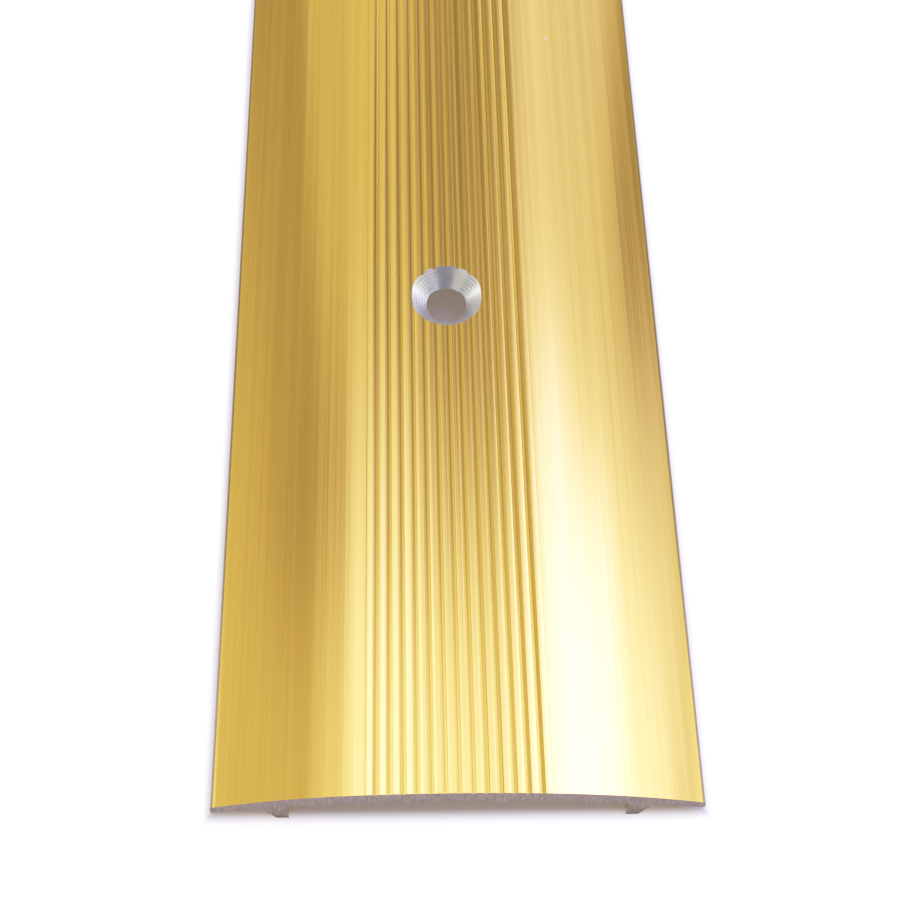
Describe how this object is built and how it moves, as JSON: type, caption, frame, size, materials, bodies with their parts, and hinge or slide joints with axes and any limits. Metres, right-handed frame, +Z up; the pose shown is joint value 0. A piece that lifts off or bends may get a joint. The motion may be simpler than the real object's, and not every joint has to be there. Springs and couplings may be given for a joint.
{
  "type": "floor threshold strip",
  "caption": "Arched gold-anodised aluminium floor threshold strip with a ribbed crown, two feet and countersunk holes, held by cross-head screws in nylon wall plugs.",
  "frame": {"origin": "on the floor's surface, under the middle of the strip's length and width", "axes": "+Y along the strip, from the end with the open hole to the far end; +X across the strip; +Z up out of the floor"},
  "size_m": [0.04, 0.9, 0.0339],
  "materials": {
    "gold_anodised_aluminium": "bright gold anodised extrusion, bare metal where it is sawn and drilled",
    "brass_plated_steel": "bright plated",
    "grey_nylon": "moulded, matt"
  },
  "bodies": {
    "strip_and_plugs": {"threshold_profile": "gold_anodised_aluminium", "wall_plug_2": "grey_nylon", "wall_plug_3": "grey_nylon", "wall_plug_4": "grey_nylon", "wall_plug_5": "grey_nylon"},
    "screw_2": {"fixing_screw_2": "brass_plated_steel"},
    "screw_3": {"fixing_screw_3": "brass_plated_steel"},
    "screw_4": {"fixing_screw_4": "brass_plated_steel"},
    "screw_5": {"fixing_screw_5": "brass_plated_steel"}
  },
  "joints": [
    {"name": "screw_2_withdraws", "type": "slide", "parent": "strip_and_plugs", "child": "screw_2", "axis": [0, 0, 1], "range_m": [0, 0.034]},
    {"name": "screw_3_withdraws", "type": "slide", "parent": "strip_and_plugs", "child": "screw_3", "axis": [0, 0, 1], "range_m": [0, 0.034]},
    {"name": "screw_4_withdraws", "type": "slide", "parent": "strip_and_plugs", "child": "screw_4", "axis": [0, 0, 1], "range_m": [0, 0.034]},
    {"name": "screw_5_withdraws", "type": "slide", "parent": "strip_and_plugs", "child": "screw_5", "axis": [0, 0, 1], "range_m": [0, 0.034]}
  ]
}
